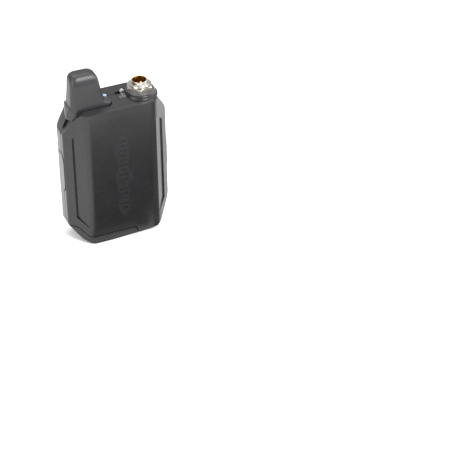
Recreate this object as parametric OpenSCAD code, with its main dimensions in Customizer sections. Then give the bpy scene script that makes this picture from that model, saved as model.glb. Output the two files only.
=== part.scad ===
// Bodypack radio transmitter for an electric guitar, millimetres.
// Frame: X across the case, Y from the front face to the back, Z up.
// The origin lies on the flat base, half way across the case.

/* [Case] */
// half of the case width
case_half_w = 32; // [31.5:0.5:32.5]
// y of the flat front face
front_y = -10.5; // [-12:0.5:-10]
// y of the flat rear face
rear_y = 12.5; // [12:0.5:14]
// y of the parting line between the two covers
part_y = 4.4; // [4:0.1:5]
// half width of the flat front panel
front_half_w = 21.4; // [21:0.1:22]
// distance from the middle to the left end of the flat base
base_left_w = 19.5; // [19:0.5:20]
// distance from the middle to the right end of the flat base
base_right_w = 19.6; // [19:0.2:20]
// height where the lower left corner cut meets the side
low_left_z = 10.4; // [10:0.2:11]
// height where the lower right corner cut meets the side
low_right_z = 15; // [14:0.5:16]
// height where the upper left corner cut meets the side
high_left_z = 72.5; // [72:0.5:73]
// height where the upper right corner cut meets the side
high_right_z = 77; // [76:0.5:78]
// height of the deck at the front edge
deck_front_z = 88.4; // [88:0.1:89]
// height of the deck at the rear edge
deck_rear_z = 91; // [90.6:0.1:91.4]
// shell wall thickness
wall = 1.8; // [1.6:0.1:2]

/* [Front panel] */
// width of the sloped grip panel beside the front face
grip_w = 5.4; // [5:0.1:5.8]
// depth of the sloped grip panel
grip_d = 7.2; // [6.9:0.1:7.4]
// number of debossed signal bars down the front
bar_count = 15; // [5:1:19]
// spacing of the signal bars
bar_pitch = 3.3; // [3:0.1:4]
// depth of the debossed marks
deboss = 0.4; // [0.2:0.1:0.6]

/* [Socket] */
// x of the instrument socket
socket_x = 16.9; // [16:0.1:17.5]
// y of the instrument socket
socket_y = 2.3; // [1.5:0.1:3]
// radius of the socket's threaded bush
bush_r = 5.8; // [5.5:0.1:6]
// inner radius of the socket tube
tube_r = 4.15; // [4:0.05:4.2]
// outer radius of the socket tube
tube_outer_r = 4.6; // [4.5:0.05:4.8]
// height of the socket's rim
socket_top_z = 97.5; // [96.5:0.1:98]
// height of the top of the hex nut
nut_top_z = 94.4; // [94:0.1:95]
// hex nut size across its corners
nut_corners = 16.4; // [15:0.1:17]

/* [Antenna] */
// top of the antenna block
antenna_top_z = 111; // [109:0.5:113]
// front of the antenna block at its foot
antenna_front_y = -4.8; // [-5:0.1:-4.6]
// rear of the antenna block
antenna_rear_y = 7.2; // [7:0.1:7.6]

/* [Battery door] */
// right-hand end of the door
door_right_x = 7.3; // [6.5:0.1:7.5]
// height of the door's front lip
door_lip_z = 4.9; // [4.4:0.1:5]
// height of the door's edge on the left corner
door_side_z = 10; // [9.6:0.1:10.4]
// y of the hinge line
hinge_y = 7.5; // [7.3:0.1:7.6]
// z of the hinge line
hinge_z = 1.7; // [1.6:0.05:1.75]

/* [Belt clip] */
// sheet thickness of the belt clip
clip_t = 0.9; // [0.7:0.1:1]
// lower end of the clip's side arms
arm_low_z = 33; // [32:0.5:35]
// upper end of the clip's side arms
arm_high_z = 58; // [56:0.5:59]
// how far the clip's side arms stand out of their pockets
arm_proud = 0.25; // [0.1:0.05:0.4]
// half width of the clip's tongue
tongue_half_w = 9; // [7:0.5:11]

/* [Hidden] */
$fn = 48;
gap = 0.3;
pocket_gap = 0.12;
clip_gap = 0.05;
black = [0.09, 0.09, 0.1];
metal = [0.78, 0.77, 0.74];
gold = [0.83, 0.62, 0.27];
green = [0.08, 0.3, 0.16];
deck_slope = (deck_rear_z - deck_front_z) / (rear_y - front_y);
screw_x = 27;
screw_z = [22, 66];
boss_y = -0.9;
bar_mid_z = 43.5;
bar_mid_x = 0.5;
switch_x = 6.8;
switch_y = 4.8;
switch_travel = 2.6;
led_x = -4.4;
led_y = 2.6;
button_x = 13.4;
button_y = 2.2;
usb_x = 13;
usb_y = 7.9;
clip_axis_y = 17;
clip_axis_z = 58.5;

function both(h) = concat(h, [for (i = [len(h) - 1 : -1 : 0]) [-h[i][0], h[i][1], h[i][2]]]);
function unit(v) = v / norm(v);

// the arc of radius r that replaces corner p, between its neighbours a and b
function arc_at(p, a, b, r, steps) =
  let(u = unit(a - p), w = unit(b - p), half = acos(u * w) / 2,
    c = p + unit(u + w) * r / sin(half), s = p + u * r / tan(half) - c,
    e = p + w * r / tan(half) - c, a0 = atan2(s[1], s[0]),
    turn = (atan2(e[1], e[0]) - a0 + 540) % 360 - 180)
  [for (i = [0 : steps]) c + r * [cos(a0 + turn * i / steps), sin(a0 + turn * i / steps)]];

// an outline of [x, y, radius] corners, with arcs where the radius isn't 0
function rounded(h, steps = 4) = [
  for (i = [0 : len(h) - 1])
    let(n = len(h), q = h[i], a = h[(i + n - 1) % n], b = h[(i + 1) % n])
    each (q[2] > 0
      ? arc_at([q[0], q[1]], [a[0], a[1]], [b[0], b[1]], q[2], steps)
      : [[q[0], q[1]]])
];
function deck_z(y) = deck_front_z + deck_slope * (y - front_y);

// a profile in X and Z, drawn out along Y
module along_y(y1, y2) {
  translate([0, y2, 0])
    rotate([90, 0, 0])
      linear_extrude(height = y2 - y1) children();
}

// a profile in Y and Z, drawn out along X
module along_x(x1, x2) {
  translate([x1, 0, 0])
    rotate([90, 0, 90])
      linear_extrude(height = x2 - x1) children();
}

// a profile in X and Y, drawn out along Z
module along_z(z1, z2) {
  translate([0, 0, z1]) linear_extrude(height = z2 - z1) children();
}

module rod_y(x, z, y1, y2, r) {
  translate([x, y2, z]) rotate([90, 0, 0]) cylinder(h = y2 - y1, r = r);
}

module rod_x(y, z, x1, x2, r) {
  translate([x1, y, z]) rotate([0, 90, 0]) cylinder(h = x2 - x1, r = r);
}

module rod_z(x, y, z1, z2, r) {
  translate([x, y, z1]) cylinder(h = z2 - z1, r = r);
}

module block(x1, x2, y1, y2, z1, z2) {
  translate([x1, y1, z1]) cube([x2 - x1, y2 - y1, z2 - z1]);
}

// solid outside shape of the whole case
module case_outside() {
  w = case_half_w;
  plan = [[front_half_w, front_y, 3], [w, 1, 2], [w, 11, 0], [w - 1.5, rear_y, 0]];
  face = [
    [base_right_w, 0, 9], [w, low_right_z, 6], [w, high_right_z, 7], [20.3, 95, 0],
    [-17.6, 95, 0], [-25.4, 86, 6], [-w, high_left_z, 2], [-w, low_left_z, 3], [-25.2, 2.2, 4],
    [-base_left_w, 0, 6]
  ];
  side = [[front_y, 0.8], [front_y + 1, 0], [rear_y - 0.6, 0], [rear_y, 0.6],
    [rear_y, deck_rear_z - 0.4], [rear_y - 0.6, deck_z(rear_y - 0.6)],
    [front_y + 1, deck_z(front_y + 1)], [front_y, deck_front_z - 0.9]];
  intersection() {
    along_z(-1, 93) polygon(rounded(both(plan)));
    along_y(-13, 15) polygon(rounded(face));
    along_x(-40, 40) polygon(side);
  }
}

// hollow of the whole case
module case_inside() {
  w = case_half_w - wall;
  plan = [[19.8, front_y + wall], [29.6, 1.8], [w, 2.6], [w, 9.8], [29.3, rear_y - wall]];
  face = [
    [14.6, wall], [18.9, 3.6], [w, 15.9], [w, 74.8], [22.2, 87], [-23, 87],
    [-w, 71.5], [-w, 13.2], [-base_left_w - 1.3, wall]
  ];
  side = [[front_y + wall, wall], [rear_y - wall, wall], [rear_y - wall, 86.9],
    [front_y + wall, 86.3]];
  intersection() {
    along_z(-1, 93) polygon(rounded(both([for (q = plan) [q[0], q[1], 0]])));
    along_y(-13, 15) polygon(face);
    along_x(-40, 40) polygon(side);
  }
}

// steeper grip panel cut into the sloped side of the front, with a step along its outer edge
module grip_cut() {
  x0 = front_half_w;
  plan = [[x0 - 0.25, front_y - 0.05], [x0 + grip_w, front_y + grip_d],
    [x0 + 8, front_y + grip_d], [x0 + 8, front_y - 2], [x0 - 0.25, front_y - 2]];
  face = [[x0 - 1, 9.6], [x0 + 6.9, 18.5], [x0 + 6.9, 70.5], [x0 - 1, 79]];
  intersection() {
    along_z(0, 90) polygon(plan);
    along_y(-13, 0) polygon(face);
  }
}

// front outline of the battery door, g larger all round
function door_face(g) = [
  [-34, -1], [door_right_x + g, -1], [door_right_x + g, 1.2 + g], [door_right_x - 0.8 + g, 3.4 + g],
  [door_right_x - 2.6, door_lip_z + g], [-22.4, door_lip_z + g], [-27.4, door_side_z + g],
  [-34, door_side_z + g]
];

// room for the door and its hinge
module door_room() {
  along_y(-13, 6) polygon(door_face(gap));
  block(-21, door_right_x + gap, 5.5, 9.45, -1, 3.6);
}

// plan outline of the antenna's foot, g larger all round
function foot_plan(g) = [
  [-3.4 + g, -4.9 - g], [-2.2 + g, -3.4], [-2.2 + g, 6.5], [-3.5 + g, 8.2 + g],
  [-27.5 - g, 8.2 + g], [-29.5 - g, -0.4 - g], [-26.9 - g, -4 - g], [-24.5, -5.1 - g],
  [-20, -5 - g]
];

// front outline of the antenna's foot, g lower than its underside
function foot_face(g) = [
  [-2 + g, 88.1 - g], [-2 + g, 90.7], [-3.2 + g, 91.5], [-6.2, 92.2], [-8, 96], [-26, 96],
  [-27.6, 92.6], [-29.6 - g, 84.2], [-29.2 - g, 83.2 - g], [-27.2 + g, 83.2 - g],
  [-21 + g, 88.1 - g]
];

module antenna_foot(g) {
  intersection() {
    along_z(70, 97) polygon(foot_plan(g));
    along_y(-13, 15) polygon(foot_face(g));
  }
}

module antenna_block() {
  top = antenna_top_z;
  front = antenna_front_y;
  rear = antenna_rear_y;
  face = [[-6, 91.5, 0], [-7, 96, 0], [-8.2, top - 6.5, 0], [-11.2, top - 0.2, 4], [-24.6, top - 0.8, 4],
    [-26.4, 99, 0], [-27.4, 91.5, 0]];
  plan = [[-23.3, front], [-11, front], [-8.3, -2.6], [-6, 0.8], [-6, 4.4], [-9, rear],
    [-24.6, rear], [-27.4, 4.6], [-27.4, 0.4], [-26.2, -2.6]];
  side = [[front, 91], [rear, 91], [rear - 0.3, top - 4], [5.7, top - 1.2], [4, top], [2.6, top],
    [0.2, top - 0.8], [-2.4, top - 3.1], [-4, top - 6.4]];
  intersection() {
    along_y(-13, 15) polygon(rounded(face));
    along_z(91, top + 2) polygon(plan);
    along_x(-40, 0) polygon(side);
  }
}

// recess in the upper left corner, in front of the antenna's foot and under it
module foot_recess() {
  plan = [[-20.4, -8.4], [-31, 2.4], [-31, part_y + 1], [-20.4, part_y + 1]];
  face = [[-21.4, 93], [-34, 93], [-34, 74.6], [-30.2, 75.6], [-29.2, 77.2], [-23.6, 88.4],
    [-21.4, 88.6]];
  intersection() {
    along_z(70, 97) polygon(plan);
    along_y(-13, 15) polygon(face);
  }
}

// raised ring of the deck around the socket
module socket_collar() {
  translate([socket_x, socket_y, 88]) cylinder(h = 2.7, r1 = 9.2, r2 = 8.2);
}

module deck_holes() {
  rod_z(socket_x, socket_y, 80, 95, bush_r + 0.15);
  block(switch_x - 1.2 - gap - switch_travel, switch_x + 1.2 + gap,
    switch_y - 0.9 - gap, switch_y + 0.9 + gap, 80, 95);
  rod_z(led_x, led_y, 80, 95, 1.15);
  block(-20, -14, 0.8, 3.2, 80, 95);
  rod_z(-10.5, 2, 80, 95, 1.2);
  rod_z(socket_x, socket_y, 90.7, 95, 8.7);
}

// outline of the belt clip's side arm in Y and Z, g larger all round
function arm_face(g) = [
  [14, arm_low_z - g], [4.6, arm_low_z - g], [2.6 - g / 2, arm_low_z + 1.4 - g],
  [1.5 - g, arm_low_z + 5], [1.5 - g, arm_high_z - 5], [2.6 - g / 2, arm_high_z - 1.4 + g],
  [4.6, arm_high_z + g], [14, arm_high_z + g]
];

// pockets in the two sides of the case for the belt clip's arms
module arm_pockets() {
  floor_x = case_half_w + arm_proud - clip_t - clip_gap;
  for (m = [0, 1]) mirror([m, 0, 0]) {
    along_x(floor_x, floor_x + 4) polygon(arm_face(0.2));
    along_z(arm_low_z - 0.2, arm_high_z + 0.2)
      polygon([[floor_x, 9], [floor_x, 9.9], [28.9, rear_y + 0.1], [33, 15], [36, 9]]);
  }
}

// debossed bars like a sound signal, down the middle of the front
module signal_bars() {
  mid = (bar_count - 1) / 2;
  for (i = [0 : bar_count - 1]) {
    len = 2.2 + 5.4 * abs(sin(i * 67 + 20)) * (1 - 0.55 * abs(i - mid) / mid);
    block(bar_mid_x - len / 2, bar_mid_x + len / 2, front_y - 1, front_y + deboss,
      bar_mid_z + (i - mid) * bar_pitch - 0.7, bar_mid_z + (i - mid) * bar_pitch + 0.7);
  }
}

// on and off marks beside the power switch
module switch_marks() {
  z = deck_z(0.6) - deboss;
  block(4.1, 4.6, -0.5, 1.7, z, z + 3);
  translate([6.6, 0.6, z]) difference() {
    cylinder(h = 3, r = 1.05);
    translate([0, 0, -1]) cylinder(h = 5, r = 0.65);
  }
}

module boss_front(x, z, y1) {
  difference() {
    rod_y(x, z, y1, part_y, 2.5);
    rod_y(x, z, y1 - 1, part_y + 1, 0.9);
  }
}

module front_cover() {
  color(black) difference() {
    union() {
      difference() {
        union() {
          case_outside();
          socket_collar();
        }
        case_inside();
        grip_cut();
        mirror([1, 0, 0]) grip_cut();
      }
      for (sx = [-1, 1], z = screw_z) boss_front(sx * screw_x, z, boss_y);
      for (p = [[-14, 70], [18, 62], [12, 18]])
        difference() {
          rod_y(p[0], p[1], -9, part_y - 0.1, 2);
          rod_y(p[0], p[1], -6, part_y + 1, 0.75);
        }
    }
    block(-40, 40, part_y, 20, -1, 95);
    door_room();
    foot_recess();
    antenna_foot(pocket_gap);
    deck_holes();
    arm_pockets();
    signal_bars();
    switch_marks();
    rod_z(button_x, button_y, -1, 4, 1.6 + gap);
  }
}

module cover_knuckle(x1, x2) {
  difference() {
    union() {
      rod_x(hinge_y, hinge_z, x1, x2, 1.5);
      block(x1, x2, hinge_y, 10, hinge_z - 0.6, hinge_z + 1.5);
    }
    rod_x(hinge_y, hinge_z, x1 - 1, x2 + 1, 0.7);
  }
}

module rear_cover() {
  color(black) difference() {
    union() {
      difference() {
        union() {
          difference() {
            union() {
              case_outside();
              socket_collar();
            }
            case_inside();
          }
          for (sx = [-1, 1], z = screw_z) rod_y(sx * screw_x, z, part_y, 12, 2.5);
        }
        door_room();
      }
      cover_knuckle(-20.7, -12.3);
      cover_knuckle(0.3, door_right_x);
    }
    block(-40, 40, -20, part_y, -1, 95);
    for (sx = [-1, 1], z = screw_z) {
      rod_y(sx * screw_x, z, part_y - 1, 14, 1.2);
      rod_y(sx * screw_x, z, rear_y - 1.5, 14, 2.2);
    }
    antenna_foot(pocket_gap);
    deck_holes();
    arm_pockets();
    block(usb_x - 4.75, usb_x + 4.75, usb_y - 1.85, usb_y + 1.85, -1, 4);
  }
}

// socket-head screw seen from its head, axis along Y
module screw_y(x, z, y_head, len, r, head_r) {
  difference() {
    union() {
      rod_y(x, z, y_head - 1.3, y_head, head_r);
      rod_y(x, z, y_head - len, y_head - 1.2, r);
    }
    translate([x, y_head + 0.1, z]) rotate([90, 0, 0]) cylinder(h = 0.9, r = head_r * 0.45, $fn = 6);
  }
}

module case_screws() {
  color(metal) for (sx = [-1, 1], z = screw_z)
    screw_y(sx * screw_x, z, rear_y - 0.15, 13, 0.85, 2);
}

module battery_door() {
  color(black) difference() {
    union() {
      difference() {
        intersection() {
          case_outside();
          along_y(-13, 5.7) polygon(door_face(0));
        }
        case_inside();
        grip_cut();
        mirror([1, 0, 0]) grip_cut();
      }
      rod_x(hinge_y, hinge_z, -12, 0, 1.5);
      block(-12, 0, 5, hinge_y, 0.2, 2.6);
    }
    rod_x(hinge_y, hinge_z, -13, 1, 0.75);
    block(-25, -20.9, 5, 6, -1, 3.2);
    block(-3.3, 5.8, -8.2, -3, -1, 1.1);
    block(-1.6, 4.1, -6.8, -4.4, -1, 4);
  }
}

module hinge_pin() {
  color(metal) rod_x(hinge_y, hinge_z, -20.4, door_right_x - 0.2, 0.7);
}

module door_latch() {
  color(black) {
    difference() {
      block(-3, 3, -7.9, -3.3, 0.25, 0.8);
      for (i = [0 : 3]) block(-1.95 + i * 1.2, -1.65 + i * 1.2, -7.2, -4, 0, 0.45);
    }
    block(-1.3, 1.5, -6.5, -4.7, 0.7, 2.4);
    block(-3.5, 7.1, -7.4, -3.8, 2.1 + gap - 0.1, 3.3);
  }
}

module door_pad() {
  color([0.2, 0.2, 0.22]) block(-18, -6, -7, 3, wall, 4.6);
}

module antenna_cover() {
  color(black) difference() {
    union() {
      antenna_foot(0);
      antenna_block();
    }
    block(-19.3, -14.7, 1.4, 2.6, 70, 107);
    rod_z(led_x, led_y, 80, 95, 1.05);
    rod_z(-10.5, 2, 80, 97, 0.7);
  }
}

module antenna_element() {
  color(gold) {
    block(-18.8, -15.2, 1.6, 2.4, 84, 106.5);
    block(-18.8, -15.2, 1.6, 4.6, 83, 84);
  }
}

module antenna_screw() {
  color(metal) difference() {
    union() {
      rod_z(-10.5, 2, 85, 86.4, 1.9);
      rod_z(-10.5, 2, 86.3, 96.5, 0.68);
    }
    translate([-10.5, 2, 84.9]) cylinder(h = 0.9, r = 0.9, $fn = 6);
  }
}

module status_led() {
  color([0.85, 0.92, 0.95]) {
    rod_z(led_x, led_y, 84.3, 92, 1.04);
    rod_z(led_x, led_y, 84.3, 85.6, 1.8);
  }
}

module led_chip() {
  color([0.95, 0.95, 0.85]) block(led_x - 0.8, led_x + 0.8, 1.8, 4.6, 82.6, 84.1);
}

module power_switch() {
  color([0.3, 0.3, 0.32]) difference() {
    block(1.1, 9.2, 2.5, 7.1, 83.6, 86.2);
    block(switch_x - 1.5 - switch_travel - gap, switch_x + 1.5 + gap, 3.4, 6.2, 84.4, 88);
  }
}

module switch_knob() {
  color([0.8, 0.8, 0.8]) {
    block(switch_x - 1.2, switch_x + 1.2, switch_y - 0.9, switch_y + 0.9, 84.7, 91.2);
    block(switch_x - 0.7, switch_x + 0.7, switch_y - 0.9, switch_y + 0.9, 91.1, 91.9);
  }
}

module socket_shell() {
  color(metal) translate([socket_x, socket_y, 0]) difference() {
    rotate_extrude($fn = 64)
      polygon([
        [tube_r, 77], [bush_r - 0.6, 77], [bush_r - 0.6, 84.6], [7.2, 84.6], [7.2, 86],
        [bush_r, 86], [bush_r, 94.9], [bush_r - 0.4, 95.3], [tube_outer_r, 95.3],
        [tube_outer_r, socket_top_z - 0.25], [tube_outer_r - 0.2, socket_top_z],
        [tube_r, socket_top_z]
      ]);
    block(bush_r - 0.5, 9, -9, 9, 84, 86);
  }
}

module socket_washer() {
  color([0.45, 0.45, 0.46]) translate([socket_x, socket_y, 0]) difference() {
    union() {
      translate([0, 0, 90.7]) cylinder(h = 0.8, r = 8.5, $fn = 64);
      translate([0, 0, 91.5]) cylinder(h = 0.4, r1 = 8.5, r2 = 8.1, $fn = 64);
    }
    translate([0, 0, 90]) cylinder(h = 3, r = bush_r + 0.1);
  }
}

module socket_nut() {
  r = nut_corners / 2;
  color(metal) translate([socket_x, socket_y, 0]) difference() {
    intersection() {
      translate([0, 0, 91.9]) rotate([0, 0, 12]) cylinder(h = nut_top_z - 91.9, r = r, $fn = 6);
      translate([0, 0, 91.9]) cylinder(h = nut_top_z - 91.9, r1 = r + 1.9, r2 = r - 0.9, $fn = 64);
    }
    translate([0, 0, 90]) cylinder(h = 6, r = bush_r);
  }
}

module socket_insert() {
  color(black) difference() {
    rod_z(socket_x, socket_y, 79, 88, tube_r);
    for (a = [45 : 90 : 315])
      translate([socket_x, socket_y, 70]) rotate([0, 0, a]) translate([2.1, 0, 0]) cylinder(h = 25, r = 0.5);
  }
}

module socket_pins() {
  color(gold) translate([socket_x, socket_y, 0])
    for (a = [45 : 90 : 315]) rotate([0, 0, a]) translate([2.1, 0, 0]) {
      translate([0, 0, 76.4]) cylinder(h = 18, r = 0.5);
      translate([0, 0, 94.4]) cylinder(h = 0.35, r1 = 0.5, r2 = 0.25);
    }
}

module socket_board() {
  color(green) difference() {
    rod_z(socket_x, socket_y, 75.4, 76.6, 5.6);
    for (a = [45 : 90 : 315])
      translate([socket_x, socket_y, 70]) rotate([0, 0, a]) translate([2.1, 0, 0]) cylinder(h = 25, r = 0.5);
  }
}

module main_board() {
  outline = [[-22, 14], [8.6, 14], [8.6, 2.6], [15.8, 2.6], [19.4, 4.6], [19.4, 14], [23.5, 17], [23.5, 72],
    [9.5, 72], [9.5, 83.4], [-20.5, 83.4], [-23.5, 79], [-23.5, 17]];
  color(green) difference() {
    along_y(4.6, 6.2) polygon(outline);
    for (p = [[-14, 70], [18, 62], [12, 18]]) rod_y(p[0], p[1], 4, 7, 1.1);
  }
}

module rf_shield() {
  color(metal) difference() {
    block(-21, 6, 6.2, 9, 42, 64);
    block(-20.7, 5.7, 6.1, 8.7, 42.3, 63.7);
    for (i = [0 : 4], j = [0 : 3]) rod_y(-17.5 + i * 5, 46 + j * 4.7, 8, 10, 0.7);
  }
}

module board_chips() {
  color([0.13, 0.13, 0.14]) {
    block(-17, -8, 6.2, 7.4, 48, 57);
    block(-4, 3, 6.2, 7.4, 49, 55);
    block(10, 17, 6.2, 7.6, 44, 51);
    block(11, 15, 6.2, 7.2, 33, 38);
    for (i = [0 : 3]) block(-18 + i * 5, -15.6 + i * 5, 6.2, 7.2, 32, 33.6);
    rod_y(12, 24, 6.2, 7.8, 1.9);
  }
}

module board_screws() {
  color(metal) for (p = [[-14, 70], [18, 62], [12, 18]])
    screw_y(p[0], p[1], 7.5, 8, 0.7, 1.7);
}

module battery_tray() {
  color([0.16, 0.16, 0.17]) difference() {
    block(-23.5, 8.3, 0.6, 3.4, 12.4, 66);
    block(-22, 6.8, -10, 1.8, 12, 62.5);
    block(-5, 3, 0, 4, 62, 67);
    block(-22.6, 7.4, 1, 4, 30, 36);
  }
}

module battery() {
  color([0.25, 0.27, 0.3]) {
    block(-21.8, 6.6, -6.2, 1.6, 12.6, 62.2);
    block(-19, 3.8, -5.4, 0.8, 11.9, 12.7);
  }
}

module battery_contacts() {
  color(gold) for (i = [0 : 2]) {
    x = -4.2 + i * 2.7;
    block(x, x + 1.2, -3, -2.6, 62.2, 66);
    block(x, x + 1.2, -3, 4.6, 66, 66.4);
  }
}

module usb_shell() {
  color(metal) along_z(0.5, 8) difference() {
    union() {
      translate([usb_x - 2.89, usb_y]) circle(r = 1.6);
      translate([usb_x + 2.89, usb_y]) circle(r = 1.6);
      translate([usb_x - 2.89, usb_y - 1.6]) square([5.78, 3.2]);
    }
    translate([usb_x - 2.89, usb_y]) circle(r = 1.28);
    translate([usb_x + 2.89, usb_y]) circle(r = 1.28);
    translate([usb_x - 2.89, usb_y - 1.28]) square([5.78, 2.56]);
  }
}

module usb_tongue() {
  color(black) {
    block(usb_x - 3.3, usb_x + 3.3, usb_y - 0.35, usb_y + 0.35, 1.2, 7);
    block(usb_x - 3, usb_x + 3, usb_y - 1.2, usb_y + 1.2, 6.6, 8);
  }
}

module link_button() {
  color([0.2, 0.2, 0.21]) {
    rod_z(button_x, button_y, 0.3, 3.1, 1.6);
    rod_z(button_x, button_y, wall + gap, 2.8, 2);
  }
}

module link_switch() {
  color([0.5, 0.5, 0.52]) {
    block(button_x - 3, button_x + 3, 0.9, 4.6, 4.4, 7.6);
    rod_z(button_x, button_y, 3.8, 4.5, 0.9);
  }
}

module belt_clip() {
  x1 = case_half_w + arm_proud - clip_t;
  x2 = case_half_w + arm_proud;
  y1 = rear_y + clip_gap;
  y2 = y1 + clip_t;
  color([0.12, 0.12, 0.13]) difference() {
    union() {
      for (m = [0, 1]) mirror([m, 0, 0]) {
        intersection() {
          along_x(x1, x2) polygon(arm_face(0));
          along_z(arm_low_z, arm_high_z) polygon([[x1, 0], [x2, 0], [x2, 10], [x1, 10]]);
        }
        along_z(arm_low_z, arm_high_z)
          polygon([[x1, 8], [x2, 8], [x2, 10.2], [29.9, y2], [26, y2], [26, y1],
            [29.2, y1], [x1, 9.9]]);
        along_x(tongue_half_w - 2.4, tongue_half_w - 1)
          polygon([[y1, 44], [y2, 44], [clip_axis_y + 1.6, clip_axis_z - 1],
            [clip_axis_y + 1.6, clip_axis_z + 1], [clip_axis_y, clip_axis_z + 1.8],
            [clip_axis_y - 1.6, clip_axis_z + 1], [y1, 53]]);
      }
      block(-27, 27, y1, y2, arm_low_z + 5, arm_high_z - 5);
    }
    rod_x(clip_axis_y, clip_axis_z, -20, 20, 0.8);
  }
}

module clip_tongue() {
  r = tongue_half_w - 2.7;
  y1 = clip_axis_y + 1;
  color([0.12, 0.12, 0.13]) difference() {
    union() {
      rod_x(clip_axis_y, clip_axis_z, -r, r, 1.7);
      along_x(-r, r) polygon([[y1, clip_axis_z], [y1 + clip_t, clip_axis_z],
        [y1 + clip_t, 24], [y1, 24]]);
      along_x(-tongue_half_w, tongue_half_w) polygon([[y1, 53], [y1 + clip_t, 53],
        [y1 + clip_t, 20], [15.6, 15.6], [17.6, 12], [16.8, 11.6], [14.4, 15.6], [y1, 20.4]]);
    }
    rod_x(clip_axis_y, clip_axis_z, -20, 20, 0.85);
  }
}

module clip_pin() {
  color(metal) rod_x(clip_axis_y, clip_axis_z, 0.4 - tongue_half_w, tongue_half_w - 0.4, 0.8);
}

front_cover();
rear_cover();
case_screws();
battery_door();
hinge_pin();
door_latch();
door_pad();
antenna_cover();
antenna_element();
antenna_screw();
status_led();
led_chip();
power_switch();
switch_knob();
socket_shell();
socket_washer();
socket_nut();
socket_insert();
socket_pins();
socket_board();
main_board();
rf_shield();
board_chips();
board_screws();
battery_tray();
battery();
battery_contacts();
usb_shell();
usb_tongue();
link_button();
link_switch();
belt_clip();
clip_tongue();
clip_pin();
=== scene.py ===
import math
import bmesh
import bpy
from mathutils import Matrix, Vector


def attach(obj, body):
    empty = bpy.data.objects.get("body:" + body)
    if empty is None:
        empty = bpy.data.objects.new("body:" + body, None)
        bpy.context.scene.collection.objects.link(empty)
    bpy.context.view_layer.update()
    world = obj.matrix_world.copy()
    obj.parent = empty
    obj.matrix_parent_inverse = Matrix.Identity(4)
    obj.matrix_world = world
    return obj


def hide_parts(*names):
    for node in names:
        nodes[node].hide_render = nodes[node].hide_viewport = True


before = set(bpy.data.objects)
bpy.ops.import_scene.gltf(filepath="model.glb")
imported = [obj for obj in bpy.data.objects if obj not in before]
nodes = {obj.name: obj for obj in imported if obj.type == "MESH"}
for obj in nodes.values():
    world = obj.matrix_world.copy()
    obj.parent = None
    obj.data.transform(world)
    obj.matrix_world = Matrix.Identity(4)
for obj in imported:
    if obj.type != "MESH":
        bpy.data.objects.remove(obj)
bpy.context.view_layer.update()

# Shapes are built in millimetres and scaled to metres when they are finished.
MM = 0.001
HALF_W = 32.0
FRONT_Y = -10.5
REAR_Y = 12.5
PART_Y = 4.4
DECK_FRONT = 88.4
DECK_REAR = 91.0
FRONT_HALF_W = 21.4
WALL = 1.8
SEAM = 0.19
DOOR_GAP = 0.5
FRONT_DISH = 0.6
SOCKET = (16.9, 2.3)
LIGHT_PIPE = (-4.4, 2.6)
LINK_BUTTON = (13.4, 2.2)
CHARGING_PORT = (13, 7.9)
# The door's hinge line, in Y and Z, and the rear screws' places, in X and Z.
HINGE = (7.5, 1.7)
SCREW_X = 27
SCREW_HEIGHTS = (22, 66)
# The belt clip's side arm, in Z, and the floor of its pocket, in X.
ARM_LOW, ARM_HIGH = 33, 58
ARM_FLOOR = 31.3
ARM_ROOM = 0.25
DECK_SLOPE = (DECK_REAR - DECK_FRONT) / (REAR_Y - FRONT_Y)


def deck_z(y):
    return DECK_FRONT + DECK_SLOPE * (y - FRONT_Y)


# ---------------------------------------------------------------- mesh helpers

def new_object(name, mesh):
    obj = bpy.data.objects.new(name, mesh)
    bpy.context.scene.collection.objects.link(obj)
    return obj


def from_bmesh(name, bm):
    bmesh.ops.recalc_face_normals(bm, faces=bm.faces[:])
    mesh = bpy.data.meshes.new(name)
    bm.to_mesh(mesh)
    bm.free()
    return new_object(name, mesh)


def drop(*objs):
    for obj in objs:
        mesh = obj.data
        bpy.data.objects.remove(obj)
        bpy.data.meshes.remove(mesh)


def bake(obj):
    """The object's modifiers become its mesh."""
    graph = bpy.context.evaluated_depsgraph_get()
    mesh = bpy.data.meshes.new_from_object(obj.evaluated_get(graph))
    obj.modifiers.clear()
    old = obj.data
    obj.data = mesh
    bpy.data.meshes.remove(old)
    return obj


def boolean(obj, tool, operation):
    mod = obj.modifiers.new("cut", "BOOLEAN")
    mod.operation = operation
    mod.solver = "EXACT"
    mod.object = tool
    bake(obj)
    drop(tool)
    return obj


def cut(obj, *tools):
    for tool in tools:
        boolean(obj, tool, "DIFFERENCE")
    return obj


def add(obj, *tools):
    for tool in tools:
        boolean(obj, tool, "UNION")
    return obj


def keep(obj, tool):
    return boolean(obj, tool, "INTERSECT")


def extruded(name, outline, axis, low, high):
    """A closed outline drawn out along X, Y or Z. The outline's two numbers are the other
    two axes in X, Y, Z order."""
    bm = bmesh.new()
    rings = []
    for level in (low, high):
        ring = []
        for a, b in outline:
            co = {"x": (level, a, b), "y": (a, level, b), "z": (a, b, level)}[axis]
            ring.append(bm.verts.new(co))
        rings.append(ring)
    bm.faces.new(rings[0])
    bm.faces.new(rings[1])
    count = len(outline)
    for i in range(count):
        j = (i + 1) % count
        bm.faces.new((rings[0][i], rings[0][j], rings[1][j], rings[1][i]))
    return from_bmesh(name, bm)


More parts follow.
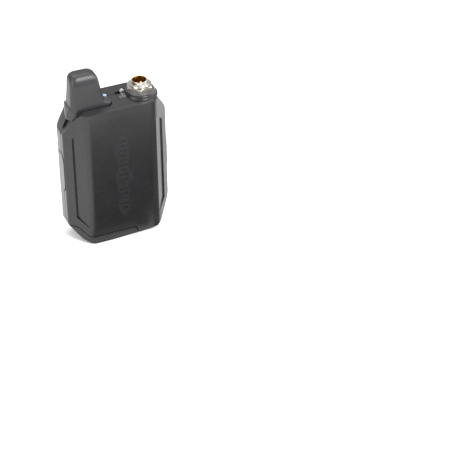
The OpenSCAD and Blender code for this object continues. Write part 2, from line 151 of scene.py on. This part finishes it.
def rounded(corners, steps=8):
    """An outline of (a, b, radius) corners, with arcs where the radius isn't 0."""
    points = []
    count = len(corners)
    for i, (a, b, r) in enumerate(corners):
        here = Vector((a, b))
        if not r:
            points.append((a, b))
            continue
        back = (Vector(corners[i - 1][:2]) - here).normalized()
        ahead = (Vector(corners[(i + 1) % count][:2]) - here).normalized()
        half = back.angle(ahead) / 2
        centre = here + (back + ahead).normalized() * r / math.sin(half)
        first = here + back * r / math.tan(half) - centre
        turn = first.angle_signed(here + ahead * r / math.tan(half) - centre)
        for k in range(steps + 1):
            t = -turn * k / steps
            c, s = math.cos(t), math.sin(t)
            points.append((centre.x + first.x * c - first.y * s,
                           centre.y + first.x * s + first.y * c))
    return points


def mirrored(half):
    """The right half of an outline and its reflection in the middle line."""
    return half + [(-a, *rest) for a, *rest in reversed(half)]


def loft(name, rings):
    """A closed skin over rings of the same number of points, capped at both ends."""
    bm = bmesh.new()
    made = [[bm.verts.new(co) for co in ring] for ring in rings]
    count = len(made[0])
    for low, high in zip(made, made[1:]):
        for i in range(count):
            j = (i + 1) % count
            bm.faces.new((low[i], low[j], high[j], high[i]))
    bm.faces.new(made[0])
    bm.faces.new(made[-1])
    return from_bmesh(name, bm)


def box(name, low, high):
    outline = [(low[0], low[1]), (high[0], low[1]), (high[0], high[1]), (low[0], high[1])]
    return extruded(name, outline, "z", low[2], high[2])


def lathe(name, profile, centre, steps=64):
    """A closed profile of (radius, height) turned about an upright line."""
    bm = bmesh.new()
    rings = []
    for i in range(steps):
        t = 2 * math.pi * i / steps
        ring = []
        for r, h in profile:
            u, v = r * math.cos(t), r * math.sin(t)
            ring.append(bm.verts.new(Vector((u, v, h)) + Vector(centre)))
        rings.append(ring)
    count = len(profile)
    for i in range(steps):
        here, there = rings[i], rings[(i + 1) % steps]
        for k in range(count):
            m = (k + 1) % count
            bm.faces.new((here[k], there[k], there[m], here[m]))
    bmesh.ops.remove_doubles(bm, verts=bm.verts[:], dist=1e-5)
    return from_bmesh(name, bm)


def disc(name, centre, r, low, high, axis="z", steps=48):
    outline = []
    for i in range(steps):
        t = 2 * math.pi * i / steps
        outline.append((r * math.cos(t), r * math.sin(t)))
    a, b = {"z": (0, 1), "y": (0, 2), "x": (1, 2)}[axis]
    outline = [(centre[a] + u, centre[b] + v) for u, v in outline]
    return extruded(name, outline, axis, low, high)


def finish_piece(obj, name, body, replaced, material, soften=0.0, smooth=35, segments=2):
    """Softens the cut edges, scales to metres, and hangs the piece on its body."""
    obj.name = name
    obj.data.name = name
    if soften:
        mod = obj.modifiers.new("soften", "BEVEL")
        mod.limit_method = "ANGLE"
        mod.angle_limit = math.radians(38)
        mod.width = soften
        mod.segments = segments
        mod.use_clamp_overlap = True
        bake(obj)
    obj.data.transform(Matrix.Scale(MM, 4))
    obj.data.shade_smooth()
    obj.data.set_sharp_from_angle(angle=math.radians(smooth))
    mod = obj.modifiers.new("weighted", "WEIGHTED_NORMAL")
    mod.keep_sharp = True
    mod.weight = 60
    obj.data.materials.clear()
    obj.data.materials.append(material)
    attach(obj, body)
    if replaced:
        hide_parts(*replaced)
    return obj


def from_cad(node):
    """A copy of a CAD node's shape in millimetres, with its flat faces made whole."""
    src = nodes[node]
    bm = bmesh.new()
    bm.from_mesh(src.data)
    bm.transform(src.matrix_world)
    bm.transform(Matrix.Scale(1 / MM, 4))
    bmesh.ops.remove_doubles(bm, verts=bm.verts[:], dist=1e-3)
    bmesh.ops.dissolve_limit(bm, angle_limit=math.radians(1.0), verts=bm.verts[:],
                             edges=bm.edges[:])
    return from_bmesh(node, bm)


# ------------------------------------------------------------------- materials

def material(name, colour, rough, metallic=0.0, grain=0.0, grain_mm=0.25, mottle=0.1,
             rough_spread=0.08, wear=0.0, ior=1.5, brushed=None):
    """Procedural finish: a fine grain, slow colour and gloss variation, light edge wear."""
    mat = bpy.data.materials.new(name)
    mat.use_nodes = True
    tree = mat.node_tree
    shader = tree.nodes["Principled BSDF"]
    shader.inputs["Metallic"].default_value = metallic
    shader.inputs["IOR"].default_value = ior
    coord = tree.nodes.new("ShaderNodeTexCoord")
    mapping = tree.nodes.new("ShaderNodeMapping")
    tree.links.new(coord.outputs["Object"], mapping.inputs["Vector"])
    if brushed:
        mapping.inputs["Scale"].default_value = brushed

    def noise(scale_mm, detail, vector):
        node = tree.nodes.new("ShaderNodeTexNoise")
        node.inputs["Scale"].default_value = 1000.0 / scale_mm
        node.inputs["Detail"].default_value = detail
        tree.links.new(vector, node.inputs["Vector"])
        return node

    slow = noise(14.0, 3.0, coord.outputs["Object"])
    fine = noise(grain_mm, 2.0, mapping.outputs["Vector"])
    ramp = tree.nodes.new("ShaderNodeMapRange")
    ramp.inputs["From Min"].default_value = 0.3
    ramp.inputs["From Max"].default_value = 0.7
    ramp.inputs["To Min"].default_value = 1.0 - mottle
    ramp.inputs["To Max"].default_value = 1.0 + mottle
    tree.links.new(slow.outputs["Fac"], ramp.inputs["Value"])
    tint = tree.nodes.new("ShaderNodeMix")
    tint.data_type = "RGBA"
    tint.blend_type = "MULTIPLY"
    tint.inputs["Factor"].default_value = 1.0
    tint.inputs["A"].default_value = (*colour, 1.0)
    tree.links.new(ramp.outputs["Result"], tint.inputs["B"])
    last = tint.outputs["Result"]
    if wear:
        geo = tree.nodes.new("ShaderNodeNewGeometry")
        edge = tree.nodes.new("ShaderNodeMapRange")
        edge.inputs["From Min"].default_value = 0.52
        edge.inputs["From Max"].default_value = 0.62
        edge.inputs["To Max"].default_value = wear
        tree.links.new(geo.outputs["Pointiness"], edge.inputs["Value"])
        worn = tree.nodes.new("ShaderNodeMix")
        worn.data_type = "RGBA"
        tree.links.new(edge.outputs["Result"], worn.inputs["Factor"])
        tree.links.new(last, worn.inputs["A"])
        worn.inputs["B"].default_value = (*[min(1.0, c * 2.2 + 0.02) for c in colour], 1.0)
        last = worn.outputs["Result"]
    tree.links.new(last, shader.inputs["Base Color"])
    gloss = tree.nodes.new("ShaderNodeMapRange")
    gloss.inputs["From Min"].default_value = 0.25
    gloss.inputs["From Max"].default_value = 0.75
    gloss.inputs["To Min"].default_value = rough - rough_spread
    gloss.inputs["To Max"].default_value = rough + rough_spread
    tree.links.new(fine.outputs["Fac"], gloss.inputs["Value"])
    tree.links.new(gloss.outputs["Result"], shader.inputs["Roughness"])
    if grain:
        bump = tree.nodes.new("ShaderNodeBump")
        bump.inputs["Strength"].default_value = grain
        bump.inputs["Distance"].default_value = 0.02 * MM
        tree.links.new(fine.outputs["Fac"], bump.inputs["Height"])
        tree.links.new(bump.outputs["Normal"], shader.inputs["Normal"])
    return mat


CASE = material("case_finish", (0.0095, 0.0095, 0.0105), 0.31, grain=0.5, grain_mm=0.35, mottle=0.15,
                wear=0.15, ior=1.43)
ANTENNA = material("antenna_finish", (0.013, 0.013, 0.0145), 0.4, grain=0.35, grain_mm=0.3,
                   mottle=0.12, wear=0.1)
BLACK = material("black_plastic", (0.015, 0.015, 0.016), 0.42, grain=0.3, mottle=0.15)
INNER = material("inner_black", (0.03, 0.03, 0.032), 0.6, grain=0.3, mottle=0.15)
CLIP = material("clip_coating", (0.02, 0.02, 0.021), 0.35, grain=0.6, grain_mm=0.2, wear=0.4)
NICKEL = material("nickel_plate", (0.44, 0.42, 0.38), 0.24, 1.0, grain=0.1, mottle=0.06,
                  rough_spread=0.05)
DARK_NICKEL = material("dark_nickel", (0.1, 0.1, 0.105), 0.3, 1.0, grain=0.1, mottle=0.08)
STEEL = material("steel", (0.55, 0.55, 0.54), 0.32, 1.0, grain=0.2, mottle=0.1,
                 brushed=(1.0, 12.0, 1.0))
BLACK_STEEL = material("blackened_steel", (0.05, 0.05, 0.052), 0.38, 1.0, grain=0.2, mottle=0.2)
# Gold plate of the pins and contacts; on the socket tube's inner wall the same gold is a painted
# reflection of the gold pins.
GOLD_AND_PIN_REFLECTION = material("gold_plate_and_pin_reflection", (0.8, 0.5, 0.17), 0.22, 1.0, grain=0.1, mottle=0.08)
BRASS = material("brass_strip", (0.62, 0.45, 0.2), 0.35, 1.0, grain=0.2, mottle=0.12)
BOARD = material("solder_mask", (0.012, 0.09, 0.04), 0.35, grain=0.2, grain_mm=0.6, mottle=0.2)
CHIP = material("chip_body", (0.02, 0.02, 0.022), 0.55, grain=0.3, mottle=0.1)
WRAP = material("battery_wrap", (0.035, 0.04, 0.05), 0.33, grain=0.15, grain_mm=0.8, mottle=0.15)
FOAM = material("door_foam", (0.03, 0.03, 0.032), 0.9, grain=1.0, grain_mm=0.5, mottle=0.25)
PIPE = material("light_pipe", (0.3, 0.4, 0.55), 0.25, grain=0.05, mottle=0.04)
LED_BODY = material("led_resin", (0.8, 0.78, 0.6), 0.3, grain=0.1, mottle=0.05)
KNOB = material("knob_metal", (0.62, 0.62, 0.63), 0.35, 1.0, grain=0.2, mottle=0.1)
MARK = material("mark_ink", (0.17, 0.175, 0.185), 0.55, grain=0.2, mottle=0.08)


# ------------------------------------------------------------------ case shape

def slice_front(obj):
    """Extra lines over the front face, so that it can be dished."""
    bm = bmesh.new()
    bm.from_mesh(obj.data)
    cuts = [((i * 2.0, 0, 0), (1, 0, 0)) for i in range(-9, 10)]
    cuts += [((0, 0, i * 4.0), (0, 0, 1)) for i in range(1, 22)]
    for point, normal in cuts:
        geom = set()
        for f in bm.faces:
            if f.normal.y < -0.999:
                geom.add(f)
                geom.update(f.edges)
                geom.update(f.verts)
        bmesh.ops.bisect_plane(bm, geom=list(geom), dist=1e-5, plane_co=point, plane_no=normal)
    half = FRONT_HALF_W - 2.4
    for v in bm.verts:
        if v.co.y < FRONT_Y + 1e-3:
            across = max(0.0, 1 - (v.co.x / half) ** 2)
            up = max(0.0, 1 - ((v.co.z - 45) / 44) ** 2)
            v.co.y += FRONT_DISH * across ** 1.3 * up ** 0.6
    bm.to_mesh(obj.data)
    bm.free()


def case_outside(name):
    """The whole case: three rounded outlines drawn out and intersected, edges softened."""
    plan = mirrored([(FRONT_HALF_W, FRONT_Y, 6.5), (HALF_W, 1.0, 2.5), (HALF_W, REAR_Y, 2.2)])
    face = [(19.6, 0, 14), (HALF_W, 15, 14), (HALF_W, 77, 16), (20.3, 95, 0), (-17.6, 95, 0),
            (-25.4, 86, 8), (-HALF_W, 72.5, 2.5), (-HALF_W, 10.4, 3.5), (-25.2, 2.2, 5),
            (-19.5, 0, 6)]
    side = [(FRONT_Y, 0, 0), (REAR_Y, 0, 0), (REAR_Y, DECK_REAR, 0), (FRONT_Y, DECK_FRONT, 0)]
    obj = extruded(name, rounded(plan), "z", -1, 96)
    keep(obj, extruded("face", rounded(face), "y", -14, 16))
    keep(obj, extruded("side", rounded(side), "x", -40, 40))
    mod = obj.modifiers.new("soften", "BEVEL")
    mod.limit_method = "ANGLE"
    mod.angle_limit = math.radians(25)
    mod.width = 0.8
    mod.segments = 4
    bake(obj)
    slice_front(obj)
    return keep(obj, rising_base())


def rising_base():
    """Room above a slanted plane that lifts the front edge of the base towards the right."""
    corners = []
    for x in (-60, 60):
        for y in (-40, 40):
            z = 0.075 * (x + 8) - 0.35 * (y - FRONT_Y)
            corners.append([(x, y, z), (x, y, 200)])
    bm = bmesh.new()
    a, b, c, d = [[bm.verts.new(co) for co in pair] for pair in corners]
    around = (a, b, d, c)
    bm.faces.new([pair[0] for pair in around])
    bm.faces.new([pair[1] for pair in around])
    for one, two in zip(around, around[1:] + around[:1]):
        bm.faces.new((one[0], two[0], two[1], one[1]))
    return from_bmesh("rising_base", bm)


def case_inside():
    w = HALF_W - WALL
    plan = mirrored([(19.8, FRONT_Y + WALL), (29.6, 1.8), (w, 2.6), (w, 9.8),
                     (29.3, REAR_Y - WALL)])
    face = [(14.6, WALL), (18.9, 3.6), (w, 15.9), (w, 74.8), (22.2, 87), (-23, 87), (-w, 71.5),
            (-w, 13.2), (-20.8, WALL)]
    side = [(-8.7, WALL), (10.7, WALL), (10.7, 86.9), (-8.7, 86.3)]
    obj = extruded("inside", plan, "z", -1, 93)
    keep(obj, extruded("inside_face", face, "y", -13, 15))
    return keep(obj, extruded("inside_side", side, "x", -40, 40))


def grip_cut(s):
    """The steeper grip panel beside the front face, with a step along its outer edge."""
    x0 = FRONT_HALF_W - 0.25
    plan = [(s * x0, FRONT_Y - 0.05), (s * (x0 + 4.6), FRONT_Y + 5.55),
            (s * (x0 + 5.75), FRONT_Y + 7.35), (s * (x0 + 7.1), FRONT_Y + 6.9),
            (s * (x0 + 10), FRONT_Y + 6.9), (s * (x0 + 10), FRONT_Y - 2), (s * x0, FRONT_Y - 2)]
    face = [(s * (x0 - 2), 8.6, 0), (s * 28.5, 17.6, 3), (s * 28.5, 71.2, 3), (s * (x0 - 2), 80, 0)]
    tool = extruded("grip", plan, "z", 0, 90)
    return keep(tool, extruded("grip_face", rounded(face), "y", -14, 2))


def door_face(g):
    """Front outline of the battery door, g larger all round."""
    right, lip, side = 7.3, 4.9, 10.0
    corners = [(-36, -2, 0), (right + g, -2, 0), (right + g, lip + g, 2.6), (-22.4, lip + g, 2.5),
               (-27.4, side + g, 2.5), (-36, side + g, 0)]
    return rounded(corners)


def door_room():
    tool = extruded("door_room", door_face(DOOR_GAP), "y", -14, 6)
    return add(tool, box("hinge_room", (-21, 5.2, -2), (7.6, 9.45, 3.6)))


def foot_plan(g):
    """Plan outline of the antenna's foot, g larger all round."""
    corners = [(-2.3 + g, -5.0 - g, 2.6), (-2.3 + g, 8.2 + g, 2.0), (-27.5 - g, 8.2 + g, 1.0),
               (-29.5 - g, -0.4 - g, 1.5), (-26.9 - g, -4 - g, 1.0), (-24.5 - g, -5.1 - g, 1.0)]
    return rounded(corners, 4)


def foot_pocket(g):
    face = [(-1.5, 88.1 - g), (-1.5, 97), (-34, 97), (-34, 90), (-29.6 - g, 84.2),
            (-29.2 - g, 83.2 - g), (-27.2, 83.2 - g), (-21, 88.1 - g)]
    tool = extruded("foot_pocket", foot_plan(g), "z", 70, 97)
    return keep(tool, extruded("foot_face", face, "y", -14, 16))


def foot_recess():
    """Room in the upper left corner, in front of the antenna's foot and under it."""
    plan = [(-20.4, -8.7), (-31.6, 2.7), (-31.6, 6), (-20.4, 6)]
    face = [(-21.4, 93, 0), (-34, 93, 0), (-34, 74.6, 0), (-30.0, 75.6, 0), (-28.4, 77.2, 2),
            (-22.6, 88.1, 0), (-21.4, 88.3, 0)]
    tool = extruded("foot_recess", plan, "z", 70, 97)
    return keep(tool, extruded("recess_face", rounded(face, 4), "y", -14, 16))


def arm_face(g):
    """Outline of the belt clip's side arm in Y and Z, g larger all round."""
    low, high = ARM_LOW - g, ARM_HIGH + g
    corners = [(14, low, 0), (1.5 - g, low, 3.5), (1.5 - g, high, 3.5), (14, high, 0)]
    return rounded(corners, 5)


def arm_pocket(s):
    """Pocket in the side of the case for the belt clip's arm."""
    tool = extruded("arm_pocket", arm_face(ARM_ROOM), "x", s * ARM_FLOOR, s * (ARM_FLOOR + 4))
    wrap = [(s * ARM_FLOOR, 9), (s * ARM_FLOOR, 9.9), (s * 28.9, REAR_Y + 0.1), (s * 33, 15),
            (s * 36, 9)]
    return add(tool, extruded("wrap", wrap, "z", ARM_LOW - ARM_ROOM, ARM_HIGH + ARM_ROOM))


def collar():
    """Raised ring of the deck around the socket, with a swept foot."""
    foot, top = 10.4, 8.5
    profile = [(5.0, 86.5), (foot, 86.5), (foot, 88.5)]
    for k in range(7):
        t = math.radians(90 * k / 6)
        profile.append((foot - (foot - top - 0.5) * math.sin(t), 90.1 - 1.5 * math.cos(t)))
    profile += [(top + 0.1, 90.55), (top - 0.1, 90.65), (5.0, 90.65)]
    return lathe("collar", profile, (*SOCKET, 0))


def signal_bars():
    """Debossed bars like a sound signal down the middle of the front."""
    count, pitch = 15, 3.3
    mid = (count - 1) / 2
    bars = None
    for i in range(count):
        swing = abs(math.sin(math.radians(i * 67 + 20)))
        length = 2.2 + 5.4 * swing * (1 - 0.55 * abs(i - mid) / mid)
        z = 43.5 + (i - mid) * pitch
        bar = rounded_bar(0.5, z, length, 1.4, FRONT_Y - 2, FRONT_Y + FRONT_DISH + 0.4)
        bars = bar if bars is None else joined(bars, bar)
    return bars


def rounded_bar(x, z, length, height, y0, y1, steps=6):
    """A bar with round ends, lying across the front face."""
    r = height / 2
    half = max(length / 2 - r, 0.01)
    outline = []
    for side, start in ((1, -90), (-1, 90)):
        for i in range(steps + 1):
            t = math.radians(start + 180 * i / steps)
            outline.append((x + side * half + r * math.cos(t), z + r * math.sin(t)))
    return extruded("bar", outline, "y", y0, y1)


def joined(a, b):
    bm = bmesh.new()
    bm.from_mesh(a.data)
    bm.from_mesh(b.data)
    name = a.name
    drop(a, b)
    return from_bmesh(name, bm)


def deck_holes():
    z0, z1 = 80, 95
    tools = [disc("hole", (*SOCKET, 0), 5.95, z0, z1, steps=64),
             box("slot", (2.7, 3.6, z0), (8.3, 6.0, z1)),
             disc("pipe_hole", (*LIGHT_PIPE, 0), 1.15, z0, z1),
             disc("screw_hole", (-10.5, 2, 0), 1.2, z0, z1),
             box("feed_hole", (-20, 0.8, z0), (-14, 3.2, z1)),
             disc("spot_face", (*SOCKET, 0), 8.7, 90.7, z1)]
    return tools


def front_cover():
    obj = case_outside("front_cover_shell")
    add(obj, collar())
    cut(obj, box("behind", (-50, PART_Y - SEAM, -5), (50, 40, 120)))
    cut(obj, case_inside(), grip_cut(-1), grip_cut(1), door_room(), foot_recess(),
        foot_pocket(0.35), *deck_holes(), signal_bars(),
        side_groove(-1), side_groove(1), arm_pocket(-1), arm_pocket(1),
        disc("button_hole", (*LINK_BUTTON, 0), 1.9, -2, 4))
    return finish_piece(obj, "front_cover_shell", "case", ["front_cover"], CASE, 0.16)


def rear_cover():
    obj = case_outside("rear_cover_shell")
    add(obj, collar())
    cut(obj, box("ahead", (-50, -40, -5), (50, PART_Y + SEAM, 120)))
    cut(obj, case_inside(), door_room(), foot_pocket(0.25), side_groove(-1), side_groove(1),
        arm_pocket(-1), arm_pocket(1), *deck_holes())
    for sx in (-1, 1):
        for z in SCREW_HEIGHTS:
            place = (sx * SCREW_X, 0, z)
            add(obj, disc("boss", place, 2.5, PART_Y + SEAM, 11.5, "y"))
            cut(obj, disc("bore", place, 1.2, 2, 20, "y"),
                disc("head_room", place, 2.2, REAR_Y - 1.5, 20, "y"))
    cut(obj, usb_slot())
    for x0, x1 in ((-20.7, -12.3), (0.3, 7.3)):
        knuckle = disc("knuckle", (0, *HINGE), 1.5, x0, x1, "x")
        add(knuckle, box("web", (x0, HINGE[0], 1.1), (x1, 10, 3.2)))
        cut(knuckle, disc("pin_bore", (0, *HINGE), 0.7, x0 - 1, x1 + 1, "x"))
        add(obj, knuckle)
    return finish_piece(obj, "rear_cover_shell", "case", ["rear_cover"], CASE, 0.16)


def side_groove(s):
    """Groove along the parting line in the side of the case."""
    floor_x, mouth_x, half_mouth = 31.45, 32.4, 0.65
    outline = [(s * floor_x, PART_Y), (s * mouth_x, PART_Y - half_mouth),
               (s * mouth_x, PART_Y + half_mouth)]
    return extruded("side_groove", outline, "z", 5, 80)


def usb_slot():
    x, y = CHARGING_PORT
    r, half = 1.75, 2.9
    outline = []
    for side, start in ((1, -90), (-1, 90)):
        for i in range(9):
            t = math.radians(start + 180 * i / 8)
            outline.append((x + side * half + r * math.cos(t), y + r * math.sin(t)))
    return extruded("usb_slot", outline, "z", -2, 4)


def battery_door():
    obj = case_outside("battery_door_shell")
    keep(obj, extruded("door_zone", door_face(0), "y", -14, 5.6))
    cut(obj, case_inside(), grip_cut(-1))
    barrel = disc("barrel", (0, *HINGE), 1.5, -12, 0, "x")
    add(barrel, box("arm", (-12, 5, 0.25), (0, HINGE[0], 2.6)))
    add(obj, barrel)
    cut(obj, disc("pin_bore", (0, *HINGE), 0.75, -13, 1, "x"),
        box("rear_clearance", (-25, 5, -1), (-20.9, 6, 3.2)),
        box("latch_recess", (-3.3, -8.2, -1), (5.8, -3, 1.1)),
        box("latch_slot", (-1.6, -6.8, -1), (4.1, -4.4, 4)))
    return finish_piece(obj, "battery_door_shell", "door", ["battery_door"], CASE, 0.14)


# --------------------------------------------------------------------- antenna

def ease(z, low, high):
    """0 below low, 1 above high, and an eased curve between."""
    t = min(1.0, max(0.0, (z - low) / (high - low)))
    return t * t * (3 - 2 * t)


def dome(z, low, high):
    """How far a quarter round has closed at height z, from 0 at low to 1 at high."""
    t = min(1.0, max(0.0, (z - low) / (high - low)))
    return 1 - math.sqrt(max(0.0, 1 - t * t))


def antenna_ring(z, steps=9):
    """Plan outline of the antenna at height z: it flares into its foot and rounds off above."""
    top = 110.65
    flare = math.exp(-(max(z, 90.9) - 90.9) / 1.0)
    right = -7.0 + 4.6 * flare - 0.14 * (z - 93) * ease(z, 91, 96) - 3.6 * dome(z, 105.5, top)
    left = -27.2 - 0.3 * flare + 0.08 * (z - 91) + 2.6 * dome(z, 107, top)
    front = -5.0 + 0.05 * (z - 88) + 5.0 * dome(z, 103.5, top)
    rear = 7.2 + 0.9 * flare - 2.2 * dome(z, 107, top)
    r = 2.6 + 0.6 * ease(z, 92, 100)
    corners = [(right, front, r), (right, rear, r), (left, rear, r), (left, front, r * 1.05)]
    return [(x, y, z) for x, y in rounded(corners, steps)]


def antenna():
    heights = [88.15, 90.6, 90.9] + [90.9 + 0.25 * k for k in range(1, 9)]
    heights += [94 + 1.25 * k for k in range(8)]
    heights += [104 + 6.6 * math.sin(math.radians(90 * k / 12)) for k in range(13)]
    block = loft("antenna_block", [antenna_ring(z) for z in heights])
    skirt = [(-21.0, 88.2, 0), (-27.0, 83.4, 0.8), (-29.4, 83.4, 0.6), (-29.2, 86.5, 0),
             (-27.8, 91.2, 0), (-21.0, 91.2, 0)]
    foot = extruded("foot", foot_plan(-0.05), "z", 70, 97)
    keep(foot, extruded("foot_front", rounded(skirt, 4), "y", -14, 16))
    add(block, foot)
    mod = block.modifiers.new("remesh", "REMESH")
    mod.mode = "VOXEL"
    mod.voxel_size = 0.4
    bake(block)
    mod = block.modifiers.new("smooth", "SMOOTH")
    mod.factor = 0.5
    mod.iterations = 5
    bake(block)
    cut(block, disc("pipe_hole", (*LIGHT_PIPE, 0), 1.1, 80, 99))
    return finish_piece(block, "antenna_body", "case", ["antenna_cover"], ANTENNA, smooth=60)


# ----------------------------------------------------------------- small pieces

def socket():
    r_in, r_out, bush = 4.15, 4.6, 5.8
    profile = [(r_in, 77), (bush - 0.6, 77), (bush - 0.6, 84.6), (7.4, 84.6), (7.4, 86),
               (bush, 86)]
    z = 86.4
    while z < 94.6:
        profile += [(bush - 0.28, z + 0.2), (bush, z + 0.4)]
        z += 0.5
    profile += [(bush - 0.05, 95.0), (bush - 0.3, 95.25), (bush - 0.5, 95.3),
                (r_out + 0.15, 95.3), (r_out, 95.45), (r_out, 97.2), (r_out - 0.08, 97.42),
                (r_out - 0.2, 97.5), (r_in + 0.12, 97.5), (r_in, 97.38)]
    shell = lathe("socket_tube", profile, (*SOCKET, 0), steps=96)
    cut(shell, box("key", (SOCKET[0] - 3.0, SOCKET[1] - 4.9, 95.9),
                   (SOCKET[0] - 1.6, SOCKET[1] - 4.25, 98)))
    finish_piece(shell, "socket_tube", "case", ["socket_shell"], NICKEL, 0.05)
    # Painted reflection: the nickel tube's inner wall is given gold, standing for the gold pins
    # reflected in it.
    shell.data.materials.append(GOLD_AND_PIN_REFLECTION)
    for face in shell.data.polygons:
        away = face.center.xy / MM - Vector(SOCKET)
        face.material_index = int(away.length < r_in + 0.12)
    nut = from_cad("socket_nut")
    finish_piece(nut, "socket_hex_nut", "case", ["socket_nut"], NICKEL, 0.14, segments=3)
    ring = [(bush + 0.1, 90.7), (8.3, 90.7), (8.5, 90.85), (8.5, 91.45), (8.42, 91.65),
            (8.1, 91.85), (bush + 0.1, 91.9)]
    washer = lathe("socket_ring", ring, (*SOCKET, 0), steps=96)
    finish_piece(washer, "socket_ring", "case", ["socket_washer"], DARK_NICKEL)


def softened(node, name, body, finish, width):
    return finish_piece(from_cad(node), name, body, [node], finish, width)


def deck_marks():
    """On and off marks in pale ink, just sunk in the deck."""
    z = deck_z(0.6)
    bar = box("on_mark", (4.15, -0.45, z - 0.2), (4.6, 1.65, z + 0.05))
    profile = [(0.66, z - 0.2), (1.06, z - 0.2), (1.06, z + 0.05), (0.66, z + 0.05)]
    ring = lathe("off_mark", profile, (6.6, 0.6, 0), steps=40)
    marks = joined(bar, ring)
    for v in marks.data.vertices:
        v.co.z += DECK_SLOPE * (v.co.y - 0.6)
    finish_piece(marks, "deck_marks", "case", [], MARK)


def carried():
    """CAD nodes that keep their shape and get a finish."""
    finishes = {
        "case_screws": BLACK_STEEL, "hinge_pin": STEEL, "door_pad": FOAM,
        "antenna_element": BRASS, "antenna_screw": STEEL, "led_chip": LED_BODY,
        "power_switch": BLACK, "socket_insert": INNER, "socket_pins": GOLD_AND_PIN_REFLECTION,
        "socket_board": BOARD, "main_board": BOARD, "rf_shield": STEEL, "board_chips": CHIP,
        "board_screws": STEEL, "battery_tray": INNER, "battery": WRAP,
        "battery_contacts": GOLD_AND_PIN_REFLECTION, "usb_shell": STEEL, "usb_tongue": BLACK,
        "link_switch": KNOB, "clip_pin": STEEL, "link_button": BLACK, "status_led": PIPE,
    }
    for node, finish in finishes.items():
        obj = nodes[node]
        if obj.data.materials:
            for i in range(len(obj.data.materials)):
                obj.data.materials[i] = finish
        else:
            obj.data.materials.append(finish)


# ------------------------------------------------------------ floor and lights

def plane(name, size, z, finish):
    bm = bmesh.new()
    bmesh.ops.create_grid(bm, x_segments=2, y_segments=2, size=size)
    obj = from_bmesh(name, bm)
    obj.location.z = z
    obj.data.materials.append(finish)
    return obj


def softbox(name, place, target, size, power):
    data = bpy.data.lights.new(name, "AREA")
    data.shape = "RECTANGLE"
    data.size, data.size_y = size
    data.energy = power
    obj = bpy.data.objects.new(name, data)
    bpy.context.scene.collection.objects.link(obj)
    obj.location = place
    aim = Vector(target) - Vector(place)
    obj.rotation_euler = aim.to_track_quat("-Z", "Y").to_euler()


def reflector(name, outline, strength):
    """A card just above the floor that only shows in reflections: dark at strength 0, or glowing."""
    bm = bmesh.new()
    bm.faces.new([bm.verts.new((x * MM, y * MM, MM)) for x, y in outline])
    obj = from_bmesh(name, bm)
    mat = bpy.data.materials.new(name)
    mat.use_nodes = True
    shader = mat.node_tree.nodes["Principled BSDF"]
    shader.inputs["Base Color"].default_value = (0.005, 0.005, 0.005, 1.0)
    shader.inputs["Emission Color"].default_value = (1.0, 1.0, 1.0, 1.0)
    shader.inputs["Emission Strength"].default_value = strength
    obj.data.materials.append(mat)
    obj.visible_camera = False
    obj.visible_diffuse = False
    obj.visible_shadow = False


def studio():
    floor_mat = material("floor", (0.9, 0.9, 0.9), 0.7, mottle=0.005, grain=0.0)
    plane("floor", 6.0, 0.0, floor_mat)
    centre = (0, 0, 0.05)
    softbox("left_box", (-0.75, -0.35, 0.45), centre, (0.6, 0.8), 5.0)
    softbox("right_box", (0.8, -0.1, 0.5), centre, (0.5, 0.8), 5.0)
    softbox("top_box", (0.0, 0.35, 1.1), centre, (0.9, 0.6), 6.0)
    softbox("front_box", (0.35, -0.65, 0.85), centre, (0.5, 0.3), 12.0)
    reflector("front_flag", [(-24, -15), (16, -15), (62, -120), (-6, -120)], 0.0)
    reflector("edge_flag", [(18, -11), (170, -18), (170, -150), (66, -150)], 0.0)
    reflector("wall_glow", [(-36, 16), (-64, 16), (-120, 140), (-60, 140)], 2.2)
    reflector("bevel_glow", [(40, -4), (140, -6), (140, 70), (60, 40)], 1.7)
    world = bpy.data.worlds.new("studio")
    bpy.context.scene.world = world
    world.use_nodes = True
    background = world.node_tree.nodes["Background"]
    background.inputs["Color"].default_value = (1.0, 1.0, 1.0, 1.0)
    background.inputs["Strength"].default_value = 0.85
    bpy.context.scene.view_settings.view_transform = "Standard"


def camera():
    turn, pitch, roll = math.radians(23.06), math.radians(35.12), math.radians(-0.64)
    forward = Vector((math.sin(turn) * math.cos(pitch), math.cos(turn) * math.cos(pitch),
                      -math.sin(pitch)))
    up = Vector((math.sin(turn) * math.sin(pitch), math.cos(turn) * math.sin(pitch),
                 math.cos(pitch)))
    right = Vector((math.cos(turn), -math.sin(turn), 0))
    across = right * math.cos(roll) + up * math.sin(roll)
    upward = up * math.cos(roll) - right * math.sin(roll)
    pose = Matrix((across, upward, -forward)).transposed().to_4x4()
    pose.translation = Vector((-0.2957, -0.8630, 0.6368))
    data = bpy.data.cameras.new("camera")
    data.sensor_width = 36.0
    data.lens = 144.5
    data.clip_start = 0.01
    obj = bpy.data.objects.new("camera", data)
    bpy.context.scene.collection.objects.link(obj)
    obj.matrix_world = pose
    bpy.context.scene.camera = obj


def build():
    camera()
    studio()
    front_cover()
    rear_cover()
    battery_door()
    antenna()
    socket()
    softened("belt_clip", "belt_clip_saddle", "case", CLIP, 0.2)
    softened("clip_tongue", "belt_clip_leaf", "tongue", CLIP, 0.2)
    softened("door_latch", "door_latch_slider", "latch", BLACK, 0.1)
    softened("switch_knob", "power_knob", "switch", KNOB, 0.15)
    deck_marks()
    carried()


build()
